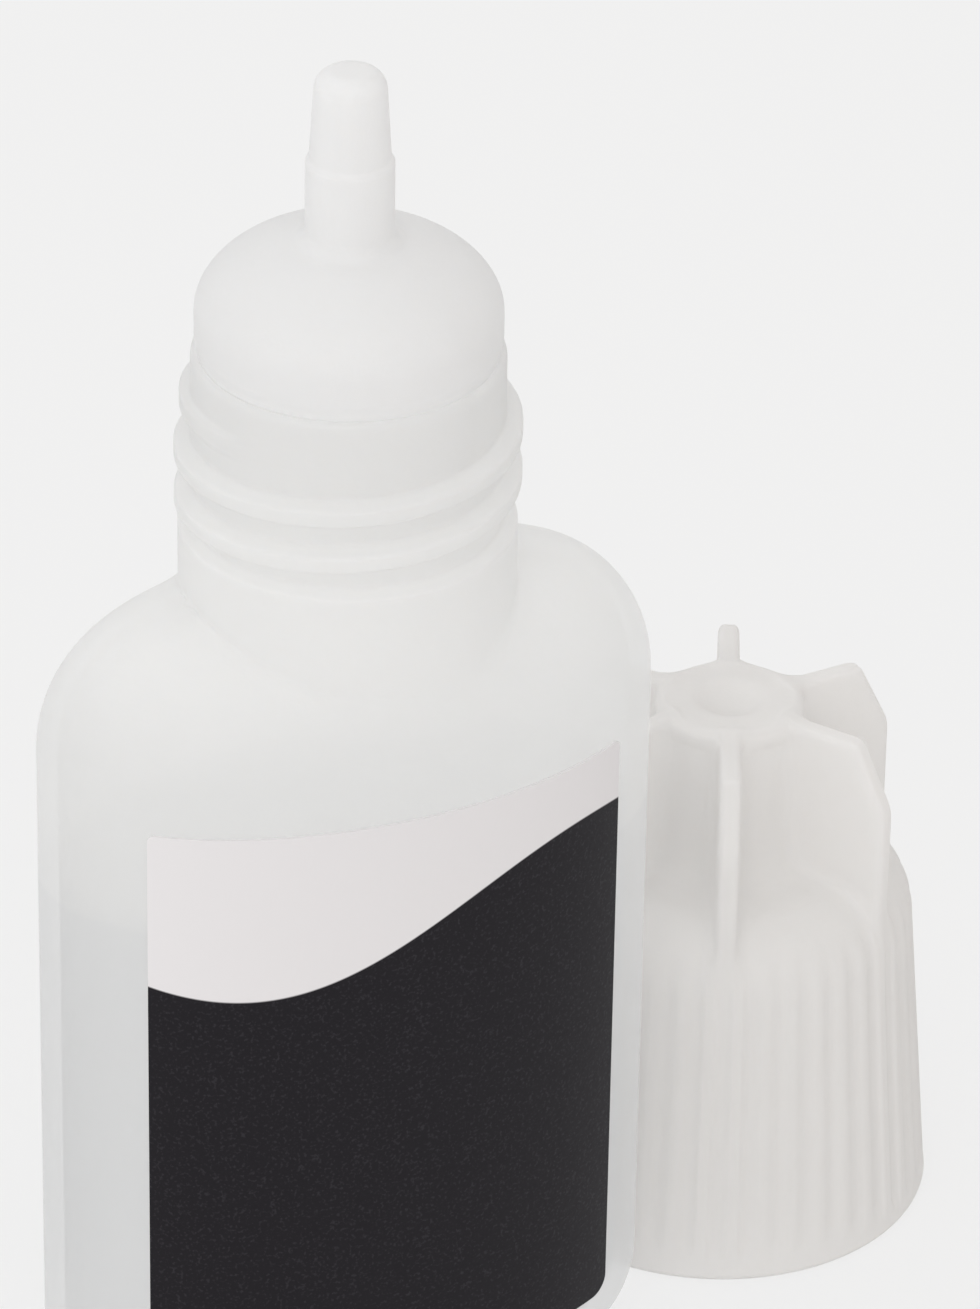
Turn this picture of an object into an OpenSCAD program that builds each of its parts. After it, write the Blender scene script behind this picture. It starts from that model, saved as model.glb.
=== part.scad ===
// Small oval squeeze bottle for nail glue, with its finned screw cap standing beside it.
// Millimetres, +Z up. The origin is the centre of the bottle's base, on the surface it stands on.
// +X runs along the wide side of the oval, -Y is the labelled face.

/* [Bottle body] */
// Width of the oval body
body_w = 27.2; // [25:0.1:34]
// Depth of the oval body, front to back
body_d = 15.5; // [15:0.1:20]
// Height of the straight wall between base rounding and shoulder
wall_h = 29.7; // [22:0.1:45]
// Radius of the rounding around the base
base_round = 4.2; // [1.5:0.1:5]
// Radius of the shoulder
shoulder_round = 6.6; // [5:0.1:7]
// Wall thickness of the body
wall_t = 0.9; // [0.6:0.05:1.4]
// Thickness of the floor
floor_t = 1.1; // [0.8:0.05:2]

/* [Neck and thread] */
// Diameter of the neck at the root of the thread
neck_d = 13; // [12.4:0.1:13.6]
// Height of the neck above the shoulder
neck_h = 10.7; // [9.5:0.1:14]
// Wall thickness of the neck
neck_wall = 1.2; // [0.9:0.05:1.6]
// Diameter of the plain collar below the thread
collar_d = 14.1; // [13.8:0.1:14.3]
// Height of the plain collar above the shoulder
collar_h = 2.9; // [1.5:0.1:3.5]
// How far the thread stands out from the neck
thread_h = 0.7; // [0.4:0.05:0.9]
// Width of the thread at its root
thread_w = 1.35; // [0.9:0.05:1.6]
// Rise of the thread in one turn
thread_pitch = 2.15; // [1.9:0.05:2.5]
// Number of turns of the thread
thread_turns = 2.45; // [1.5:0.05:2.6]
// Direction in which the thread starts
thread_start = 60; // [0:1:360]
// Height of the thread's lower end above the collar
thread_lead = 0.45; // [0.3:0.05:0.8]

/* [Nozzle plug] */
// Diameter of the domed rim
plug_d = 12.7; // [12:0.1:13]
// Diameter of the groove under the rim
groove_d = 12.1; // [11.2:0.1:12.3]
// Height of the groove above the neck
groove_h = 0.4; // [0.2:0.05:0.8]
// Height of the rim below the dome
rim_h = 1.3; // [0.8:0.1:2]
// Height of the dome
dome_h = 3.5; // [2.5:0.1:4.5]
// Thickness of the plug's shell
plug_t = 1.1; // [0.8:0.05:1.4]
// Length of the plug inside the neck
insert_h = 5; // [3:0.1:7]
// Diameter of the nozzle's lower part
nozzle_d = 3.66; // [3.3:0.02:4.4]
// Height of the nozzle's lower part above the dome
nozzle_base_h = 3.7; // [2.5:0.1:5]
// Diameter of the nozzle just above its small step
nozzle_step_d = 3.36; // [2.9:0.02:3.6]
// Diameter of the nozzle at its closed tip
tip_d = 3.0; // [2.4:0.02:3.2]
// Height of the nozzle's upper part
nozzle_tip_h = 3.8; // [2.5:0.1:6]
// Radius of the rounded tip
tip_round = 0.85; // [0.4:0.05:1.1]
// Diameter of the channel inside the nozzle
channel_d = 1.3; // [0.8:0.05:1.5]
// Thickness of the closed end over the channel
tip_wall = 0.9; // [0.5:0.05:1.5]
// Radial clearance of the plug in the neck
plug_gap = 0.05; // [0.02:0.01:0.1]

/* [Glue] */
// Depth of the glue's surface below the top of the straight wall
glue_drop = 5.8; // [1:0.1:15]
// Clearance between the glue and the wall
glue_gap = 0.05; // [0.02:0.01:0.1]

/* [Label] */
// Width of the label, measured straight across
label_w = 21; // [12:0.1:22]
// Sideways offset of the label from the middle of the face
label_shift = -0.3; // [-1:0.1:1]
// Bare wall between the label and the base rounding
label_low_margin = 0.4; // [0.2:0.1:4]
// Bare wall between the label and the shoulder
label_high_margin = 1; // [0.5:0.1:8]
// Thickness of the label
label_t = 0.12; // [0.08:0.01:0.25]
// Radius of the label's lower corners
label_low_round = 0.8; // [0.2:0.1:2]
// Radius of the label's upper corners
label_high_round = 0.3; // [0.2:0.1:2]
// Thickness of the adhesive film behind the label
label_gap = 0.02; // [0.01:0.01:0.05]

/* [Screw cap] */
// Diameter of the cap over its ribs at the open end
cap_d = 19.2; // [18:0.1:22]
// Diameter of the skirt over its ribs where its top rounding begins
skirt_top_d = 17; // [16.6:0.1:17.8]
// Height of the skirt below its top rounding
skirt_h = 13.9; // [12.5:0.1:15.5]
// Radius of the rounding at the top of the skirt
skirt_round = 3.35; // [2:0.05:3.6]
// Diameter of the core between the fins, at its foot
core_d = 7.4; // [6.6:0.1:8]
// Height of the fillet between the skirt and the core
core_fillet = 0.95; // [0.5:0.05:1.5]
// Diameter of the round button on the top
button_d = 6.5; // [6:0.1:7]
// Height of the button's rounded edge
button_h = 1.1; // [0.8:0.1:1.6]
// Diameter of the dimple in the button
dimple_d = 3.6; // [2:0.1:4]
// Depth of the dimple
dimple_h = 0.45; // [0.2:0.05:0.6]
// Thickness of the cap over the nozzle
cap_top_t = 1.5; // [1.2:0.05:2.5]
// Number of grip fins
fin_count = 6; // [4:1:8]
// Thickness of a fin
fin_t = 0.95; // [0.7:0.05:1.3]
// Reach of the fins from the axis
fin_reach = 8; // [7:0.05:8.2]
// Reach of the fins at their top corner
fin_corner_reach = 6.6; // [5:0.05:6.8]
// Drop of the fins' slanted outer edge
fin_slant_h = 3.2; // [2:0.1:4]
// Depth of the fins' top corner below the button
fin_top_drop = 0.5; // [0.3:0.05:1]
// Slope of the fins' top edge, as a drop from the axis to the corner
fin_top_slope = 0.35; // [0:0.05:0.8]
// Number of grip ribs around the skirt
rib_count = 42; // [24:1:48]
// Width of a rib
rib_w = 0.68; // [0.4:0.02:0.8]
// How far the ribs stand out from the skirt
rib_h = 0.25; // [0.15:0.05:0.4]
// Plain band below the ribs, flush with them
rib_band = 1.1; // [0.5:0.1:3]
// Angle up the skirt's rounding at which the ribs end
rib_top_angle = 50; // [10:1:80]
// Clearance between the cap's thread and the neck's thread
thread_gap = 0.25; // [0.15:0.05:0.4]
// Clearance between the closed cap and the dome, the nozzle and the shoulder
seat_gap = 0.4; // [0.2:0.05:0.6]
// Number of turns of the thread inside the cap
cap_thread_turns = 1.5; // [1:0.05:2]
// Height of the cap's thread above its open end
cap_thread_lead = 3.2; // [2.5:0.1:4]

/* [Cap standing beside the bottle] */
// Place around the oval at which the cap stands, from +X towards +Y
cap_bearing = 18.9; // [0:0.1:60]
// Space between the cap and the body
cap_gap = 0.65; // [0.4:0.05:20]
// Direction of the first fin
cap_turn = 5.6; // [0:0.1:360]

/* [Hidden] */

// Facets of the oval and steps along its roundings
oval_sides = 72;
round_steps = 8;
// Facets of a full turn of thread, and the share of a thread that each end takes to fade out
thread_sides = 30;
thread_fade = 0.12;
// How deep a thread is rooted in the wall that carries it, and how deep its faded ends sink there
thread_root = 0.3;
thread_sink = 0.05;
// Width of a thread's crest, as a share of its root
thread_crest_share = 0.4;
// Facets of the true round surfaces
round_sides = 96;
// Columns of the label from side to side, and rows in each rounded corner
label_columns = 48;
label_corner_rows = 6;
// Overshoot of a cut beyond the face that it opens
cut = 1;

// Heights on the bottle
wall_top = base_round + wall_h;
shoulder_top = wall_top + shoulder_round;
collar_top = shoulder_top + collar_h;
neck_top = shoulder_top + neck_h;
rim_foot = neck_top + groove_h;
dome_foot = rim_foot + rim_h;
dome_top = dome_foot + dome_h;
step_z = dome_top + nozzle_base_h;
nozzle_top = step_z + nozzle_tip_h;
glue_top = wall_top - glue_drop;

// Radii on the neck
neck_r = neck_d / 2;
bore_r = neck_r - neck_wall;
crest_r = neck_r + thread_h;
insert_r = bore_r - plug_gap;

// The closed cap's rim comes to rest just above the shoulder
cap_seat = shoulder_top + seat_gap;
cap_bore_r = crest_r + thread_gap;
cap_crest_r = neck_r + thread_gap;
cap_bore_h = neck_top - cap_seat + seat_gap;
cap_dome_r = max(plug_d / 2, neck_r) + seat_gap;
cap_dome_foot = dome_foot - cap_seat;
cap_dome_top = dome_top - cap_seat + seat_gap;
cap_well_r = nozzle_d / 2 + seat_gap;
cap_well_top = nozzle_top - cap_seat + seat_gap;
cap_h = cap_well_top + cap_top_t;
skirt_top = skirt_h + skirt_round;
skirt_top_r = skirt_top_d / 2;
core_foot = skirt_top + core_fillet;
fin_top = cap_h - fin_top_drop;

// Where the cap stands: out from the oval along its own normal
oval_point = [body_w / 2 * cos(cap_bearing), body_d / 2 * sin(cap_bearing)];
oval_normal = unit([cos(cap_bearing) / body_w, sin(cap_bearing) / body_d]);
cap_at = oval_point + oval_normal * (cap_d / 2 + cap_gap);

function unit(v) = v / norm(v);

// A level oval loop, anticlockwise seen from above
function oval(half_w, half_d, z) =
    [for (i = [0 : oval_sides - 1])
        let (a = 360 * i / oval_sides)
        [half_w * cos(a), half_d * sin(a), z]];

// How far the body's skin lies inside the oval of the straight wall at a height
function skin_inset(z) =
    z < base_round ? base_round - sqrt(pow(base_round, 2) - pow(base_round - z, 2)) :
    z > wall_top ? shoulder_round - sqrt(pow(shoulder_round, 2) - pow(z - wall_top, 2)) : 0;

// Loops of a rounded oval body that lies a distance inside the bottle's skin
function base_loops(inside, floor_z) =
    let (r = base_round - inside)
    [for (i = [0 : round_steps])
        let (a = 90 * i / round_steps, inset = inside + r * (1 - sin(a)))
        oval(body_w / 2 - inset, body_d / 2 - inset, floor_z + (base_round - floor_z) * (1 - cos(a)))];
function shoulder_loops(inside) =
    let (r = shoulder_round - inside)
    [for (i = [0 : round_steps])
        let (a = 90 * i / round_steps, inset = inside + r * (1 - cos(a)))
        oval(body_w / 2 - inset, body_d / 2 - inset, wall_top + r * sin(a))];

// A closed solid through a row of loops that all have as many points
module loft(loops) {
    n = len(loops[0]);
    last = len(loops) - 1;
    sides = [for (j = [0 : last - 1], i = [0 : n - 1])
        let (a = j * n + i, b = j * n + (i + 1) % n)
        each [[a, b + n, b], [a, a + n, b + n]]];
    low_end = [for (i = [0 : n - 1]) i];
    high_end = [for (i = [0 : n - 1]) last * n + n - 1 - i];
    polyhedron([for (loop = loops) each loop], concat([low_end], sides, [high_end]));
}

// A helical ridge from a wall to a crest: a crest below the wall gives a thread inside a bore
module thread(wall_r, tip_r, turns, start_angle, start_z) {
    steps = ceil(turns * thread_sides);
    inward = wall_r > tip_r;
    root_r = wall_r + (inward ? thread_root : -thread_root);
    sunk_r = wall_r + (inward ? thread_sink : -thread_sink);
    tip_w = thread_w * thread_crest_share;
    loft([for (i = [0 : steps])
        let (
            t = i / steps,
            fade = min(1, t / thread_fade, (1 - t) / thread_fade),
            r = sunk_r + (tip_r - sunk_r) * fade,
            a = start_angle + 360 * turns * t,
            z = start_z + thread_pitch * turns * t,
            section = inward
                ? [[r, -tip_w], [r, tip_w], [root_r, thread_w], [root_r, -thread_w]]
                : [[root_r, -thread_w], [root_r, thread_w], [r, tip_w], [r, -tip_w]]
        )
        [for (p = section) [p[0] * cos(a), p[0] * sin(a), z + p[1] / 2]]]);
}

module bottle_body() {
    color([0.90, 0.90, 0.88])
    difference() {
        union() {
            loft(concat(base_loops(0, 0), shoulder_loops(0)));
            translate([0, 0, wall_top]) cylinder(d = collar_d, h = collar_top - wall_top, $fn = round_sides);
            translate([0, 0, wall_top]) cylinder(r = neck_r, h = neck_top - wall_top, $fn = round_sides);
            thread(neck_r, crest_r, thread_turns, thread_start, collar_top + thread_lead);
        }
        loft(concat(base_loops(wall_t, floor_t), shoulder_loops(wall_t)));
        translate([0, 0, wall_top]) cylinder(r = bore_r, h = neck_top - wall_top + cut, $fn = round_sides);
    }
}

// Quarter of a dome's outline, from its foot up to a hole of a given radius around the axis
function dome_arc(r, foot, rise, inner_r) =
    let (a_end = acos(inner_r / r))
    [for (i = [0 : 2 * round_steps])
        let (a = a_end * i / (2 * round_steps))
        [r * cos(a), foot + rise * sin(a)]];

// Half outline of the plug, from the insert's lower end to the tip, turned around the axis
module plug_outside() {
    rim_chamfer = (plug_d - groove_d) / 2;
    tip_centre = [tip_d / 2 - tip_round, nozzle_top - tip_round];
    tip_arc = [for (i = [0 : round_steps])
        let (a = 90 * i / round_steps)
        tip_centre + tip_round * [cos(a), sin(a)]];
    rotate_extrude($fn = round_sides) polygon(concat(
        [[0, neck_top - insert_h], [insert_r - plug_gap, neck_top - insert_h],
         [insert_r, neck_top - insert_h + plug_t], [insert_r, neck_top],
         [groove_d / 2, neck_top], [groove_d / 2, rim_foot],
         [plug_d / 2, rim_foot + rim_chamfer]],
        dome_arc(plug_d / 2, dome_foot, dome_h, nozzle_d / 2),
        [[nozzle_d / 2, step_z - (nozzle_d - nozzle_step_d)], [nozzle_step_d / 2, step_z]],
        tip_arc,
        [[0, nozzle_top]]));
}

module plug_inside() {
    hollow_r = insert_r - plug_t;
    rotate_extrude($fn = round_sides) polygon(concat(
        [[0, neck_top - insert_h - cut], [hollow_r, neck_top - insert_h - cut], [hollow_r, dome_foot]],
        dome_arc(hollow_r, dome_foot, dome_h - plug_t, channel_d / 2),
        [[channel_d / 2, nozzle_top - tip_wall], [0, nozzle_top - tip_wall]]));
}

module nozzle_plug() {
    color([0.94, 0.94, 0.93])
    difference() {
        plug_outside();
        plug_inside();
    }
}

module glue_fill() {
    inside = wall_t + glue_gap;
    color([0.86, 0.87, 0.85])
    loft(concat(
        base_loops(inside, floor_t + glue_gap),
        [oval(body_w / 2 - inside, body_d / 2 - inside, glue_top)]));
}

// Point on the front of the body's skin, moved outwards, at a distance across the face
function face_point(x, z, out) =
    let (
        inset = skin_inset(z),
        half_w = body_w / 2 - inset,
        half_d = body_d / 2 - inset,
        a = acos(x / half_w),
        normal = unit([cos(a) / half_w, -sin(a) / half_d])
    )
    [x + normal[0] * out, -half_d * sin(a) + normal[1] * out, z];

module front_label() {
    low = base_round + label_low_margin;
    high = wall_top - label_high_margin;
    corner = [for (i = [0 : label_corner_rows]) 90 * i / label_corner_rows];
    // Each row is a height with the label's half width there
    rows = concat(
        [for (a = corner)
            [low + label_low_round * (1 - cos(a)), label_w / 2 - label_low_round * (1 - sin(a))]],
        [for (a = corner)
            [high - label_high_round * (1 - sin(a)), label_w / 2 - label_high_round * (1 - cos(a))]]);
    color([0.16, 0.15, 0.17])
    loft([for (row = rows)
        let (across = [for (i = [0 : label_columns])
            label_shift + row[1] * (2 * i / label_columns - 1)])
        concat(
            [for (x = across) face_point(x, row[0], label_gap + label_t)],
            [for (i = [label_columns : -1 : 0]) face_point(across[i], row[0], label_gap)])]);
}

// Point on the skirt's top rounding, and radius of the skirt below it, at the level of the ribs
function skirt_bend(a, inset) =
    [skirt_top_r - skirt_round, skirt_h] + (skirt_round - inset) * [cos(a), sin(a)];
function skirt_r(z) = cap_d / 2 + (skirt_top_r - cap_d / 2) * z / skirt_h;

// The skirt lies a rib's height below the ribs, which sink into the rounding at its top
module cap_skirt() {
    steps = 2 * round_steps;
    bend = [for (i = [0 : steps])
        let (a = 90 * i / steps)
        skirt_bend(a, rib_h * max(0, 1 - a / rib_top_angle))];
    rotate_extrude($fn = round_sides) polygon(concat(
        [[0, 0], [skirt_r(0), 0], [skirt_r(rib_band), rib_band], [skirt_r(rib_band) - rib_h, rib_band]],
        bend,
        [[core_d / 2, core_foot], [button_d / 2, cap_h - button_h], [0, cap_h - button_h]]));
}

module cap_ribs() {
    root_r = skirt_top_r - skirt_round;
    crest = [for (i = [0 : round_steps]) skirt_bend(rib_top_angle * i / round_steps, 0)];
    foot = rib_band / 2;
    outline = concat(
        [[root_r, foot], [skirt_r(rib_band), foot], [skirt_r(rib_band), rib_band]],
        crest);
    for (i = [0 : rib_count - 1])
        rotate([0, 0, 360 * (i + 0.5) / rib_count])
            translate([0, rib_w / 2, 0])
                rotate([90, 0, 0]) linear_extrude(rib_w) polygon(outline);
}

module cap_fins() {
    half_outline = [
        [0, 0], [fin_reach, 0],
        [fin_reach, fin_top - fin_slant_h - skirt_h],
        [fin_corner_reach, fin_top - skirt_h],
        [0, fin_top + fin_top_slope - skirt_h]];
    for (i = [0 : fin_count - 1])
        rotate([0, 0, 360 * i / fin_count])
            translate([0, fin_t / 2, skirt_h])
                rotate([90, 0, 0]) linear_extrude(fin_t) polygon(half_outline);
}

module cap_button() {
    edge_r = button_h / 2;
    edge = [for (i = [0 : 2 * round_steps])
        let (a = 180 * i / (2 * round_steps) - 90)
        [button_d / 2 - edge_r + edge_r * cos(a), cap_h - edge_r + edge_r * sin(a)]];
    dimple_r = (pow(dimple_d / 2, 2) + pow(dimple_h, 2)) / (2 * dimple_h);
    difference() {
        rotate_extrude($fn = round_sides)
            polygon(concat([[0, cap_h - button_h]], edge, [[0, cap_h]]));
        translate([0, 0, cap_h + dimple_r - dimple_h]) sphere(dimple_r, $fn = round_sides);
    }
}

module cap_inside() {
    rotate_extrude($fn = round_sides) polygon(concat(
        [[0, -cut], [cap_bore_r, -cut], [cap_bore_r, cap_bore_h], [cap_dome_r, cap_bore_h]],
        dome_arc(cap_dome_r, cap_dome_foot, cap_dome_top - cap_dome_foot, cap_well_r),
        [[cap_well_r, cap_well_top], [0, cap_well_top]]));
}

module screw_cap() {
    color([0.91, 0.90, 0.88])
    translate([cap_at[0], cap_at[1], 0]) rotate([0, 0, cap_turn]) {
        difference() {
            union() {
                cap_skirt();
                cap_ribs();
                cap_fins();
                cap_button();
            }
            cap_inside();
        }
        thread(cap_bore_r, cap_crest_r, cap_thread_turns, 0, cap_thread_lead);
    }
}

bottle_body();
nozzle_plug();
glue_fill();
front_label();
screw_cap();
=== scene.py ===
"""Looks of a small nail glue bottle, with its finned screw cap standing beside it.

Sizes are millimetres in the part's own frame: +Z is up, the bottle's base is centred on the origin
and its label faces -Y. They become metres where a mesh, a light or the camera is made.
"""
import logging
import math
from dataclasses import dataclass, field
from enum import Enum
from typing import Any

import bmesh
import bpy
import numpy as np
from mathutils import Matrix, Vector


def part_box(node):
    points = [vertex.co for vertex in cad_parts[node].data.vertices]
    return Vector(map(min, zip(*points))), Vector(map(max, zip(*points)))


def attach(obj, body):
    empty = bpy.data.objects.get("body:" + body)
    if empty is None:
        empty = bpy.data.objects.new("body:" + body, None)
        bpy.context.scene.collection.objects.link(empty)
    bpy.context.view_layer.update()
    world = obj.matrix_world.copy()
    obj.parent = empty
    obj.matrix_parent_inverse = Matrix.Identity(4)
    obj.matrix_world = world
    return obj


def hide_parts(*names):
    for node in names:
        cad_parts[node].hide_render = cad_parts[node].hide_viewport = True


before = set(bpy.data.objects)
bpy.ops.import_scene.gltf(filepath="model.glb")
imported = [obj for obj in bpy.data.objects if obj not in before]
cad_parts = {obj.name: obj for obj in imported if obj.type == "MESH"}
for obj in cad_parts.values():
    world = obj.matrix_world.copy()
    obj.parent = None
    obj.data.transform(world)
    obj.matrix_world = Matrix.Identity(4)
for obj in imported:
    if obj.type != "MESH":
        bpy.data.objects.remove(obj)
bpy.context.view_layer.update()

log = logging.getLogger("nail_glue_bottle")

MM = 0.001
TURN = 2 * math.pi
CREASE = 60.0
TINY = 1e-6
Array = np.ndarray
Colour = tuple[float, float, float]
Faces = list[tuple[int, ...]]


class Body(Enum):
    """Bodies of the frame that a piece can ride on."""

    BOTTLE = "bottle"
    CAP = "cap"


class Slot(Enum):
    """Names of the material slots."""

    BOTTLE = "bottle"
    NOZZLE = "nozzle"
    GLUE = "glue"
    LABEL = "label"
    CAP = "cap"


# Curves and distances

def smooth_step(x: Array) -> Array:
    """Rises from 0 at x = 0 to 1 at x = 1 with level ends."""
    t = np.clip(x, 0, 1)
    return t * t * (3 - 2 * t)


def smooth_max(a: Array, b: Array, blend: Array | float) -> Array:
    """Larger of two values, rounded off where they come within a blend of each other."""
    near = np.clip(1 - np.abs(a - b) / blend, 0, None)
    return np.maximum(a, b) + blend * near * near / 4


def smooth_min(a: Array, b: Array, blend: Array | float) -> Array:
    """Smaller of two values, rounded off where they come within a blend of each other."""
    return -smooth_max(-a, -b, blend)


def arc(centre: tuple[float, float], radius: float, start: float, end: float, steps: int) -> Array:
    """Points of an arc in the plane of radius and height.

    Args:
        centre: Radius and height of the arc's centre.
        radius: Radius of the arc.
        start: First angle in degrees, 0 pointing away from the axis and 90 up.
        end: Last angle in degrees.
        steps: Number of stretches between the points.

    Returns:
        An array of (radius, height) rows.
    """
    a = np.radians(np.linspace(start, end, steps + 1))
    return np.stack([centre[0] + radius * np.cos(a), centre[1] + radius * np.sin(a)], axis=1)


def line(start: tuple[float, float], end: tuple[float, float], steps: int) -> Array:
    """Points from start to end in equal steps, as (radius, height) rows."""
    return np.linspace(start, end, steps + 1)


# Meshes

def link_mesh(name: str, points: Array, faces: Faces) -> bpy.types.Object:
    """Makes a smooth, outward-facing mesh object.

    Args:
        name: Name of the piece.
        points: Corner points in millimetres.
        faces: Corner numbers of each face.

    Returns:
        The new object, linked to the scene.
    """
    mesh = bpy.data.meshes.new(name)
    mesh.from_pydata((np.asarray(points) * MM).tolist(), [], faces)
    work = bmesh.new()
    work.from_mesh(mesh)
    bmesh.ops.recalc_face_normals(work, faces=work.faces)
    work.to_mesh(mesh)
    work.free()
    mesh.shade_smooth()
    mesh.set_sharp_from_angle(angle=math.radians(CREASE))
    piece = bpy.data.objects.new(name, mesh)
    bpy.context.scene.collection.objects.link(piece)
    return piece


def ring_skin(name: str, rings: Array, ends: tuple[float, float],
              place: Matrix | None = None) -> bpy.types.Object:
    """Makes one closed skin from rings around the Z axis that run from pole to pole.

    Args:
        name: Name of the piece.
        rings: Points of every ring, as rings by columns by X, Y and Z.
        ends: Heights of the first and the last pole on the axis.
        place: Where the axis stands in the frame, in millimetres.

    Returns:
        The new object.
    """
    count, columns = rings.shape[:2]
    points = np.vstack([[0, 0, ends[0]], rings.reshape(-1, 3), [0, 0, ends[1]]])
    if place is not None:
        turned = np.array(place)
        points = points @ turned[:3, :3].T + turned[:3, 3]
    last = len(points) - 1
    number = 1 + np.arange(count * columns).reshape(count, columns)
    onward = np.roll(number, -1, axis=1)
    quads = np.stack([number[:-1], onward[:-1], onward[1:], number[1:]], axis=2).reshape(-1, 4)
    faces = [tuple(q) for q in quads.tolist()]
    faces += [(0, b, a) for a, b in zip(number[0].tolist(), onward[0].tolist())]
    faces += [(last, a, b) for a, b in zip(number[-1].tolist(), onward[-1].tolist())]
    return link_mesh(name, points, faces)


def polar_rings(theta: Array, radius: Array, height: Array) -> Array:
    """Points of rings from their directions, distances from the axis and heights."""
    return np.stack([radius * np.cos(theta), radius * np.sin(theta), height], axis=2)


def spread(outline: Array, columns: int) -> tuple[Array, Array]:
    """Radius and height of an outline's rows, repeated for every column."""
    return tuple(np.repeat(outline[:, i:i + 1], columns, axis=1) for i in range(2))


def turned_skin(name: str, outline: Array, columns: int) -> bpy.types.Object:
    """Turns an outline that starts and ends on the axis into a closed skin.

    Args:
        name: Name of the piece.
        outline: Rows of (radius, height), the first and the last of them on the axis.
        columns: Number of facets around.

    Returns:
        The new object.
    """
    theta = np.arange(columns) * TURN / columns
    rings = polar_rings(theta, *spread(outline[1:-1], columns))
    return ring_skin(name, rings, (outline[0, 1], outline[-1, 1]))


def dress(piece: bpy.types.Object, finish: "Finish", body: Body, node: str) -> None:
    """Gives a piece its finish and ties it to the frame.

    Args:
        piece: The finished mesh, in place.
        finish: What its surface is made of.
        body: Body that it moves with.
        node: Solid of the frame that it stands for.
    """
    piece.data.materials.append(finish.material())
    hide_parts(node)
    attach(piece, body.value)
    log.info("%s: %d faces, on %s", piece.name, len(piece.data.polygons), body.value)


# Shader nodes

class Value:
    """A shader socket that carries a number, so that sums can be written as expressions."""

    def __init__(self, graph: "Graph", socket: bpy.types.NodeSocket) -> None:
        """Keeps the socket and the node tree that it belongs to."""
        self.graph = graph
        self.socket = socket

    def __add__(self, other: "Value | float") -> "Value":
        """This number plus another."""
        return self.graph.math("ADD", self, other)

    def __radd__(self, other: float) -> "Value":
        """A plain number plus this one."""
        return self.graph.math("ADD", other, self)

    def __sub__(self, other: "Value | float") -> "Value":
        """This number less another."""
        return self.graph.math("SUBTRACT", self, other)

    def __rsub__(self, other: float) -> "Value":
        """A plain number less this one."""
        return self.graph.math("SUBTRACT", other, self)

    def __mul__(self, other: "Value | float") -> "Value":
        """This number times another."""
        return self.graph.math("MULTIPLY", self, other)

    def __rmul__(self, other: float) -> "Value":
        """A plain number times this one."""
        return self.graph.math("MULTIPLY", other, self)


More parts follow.
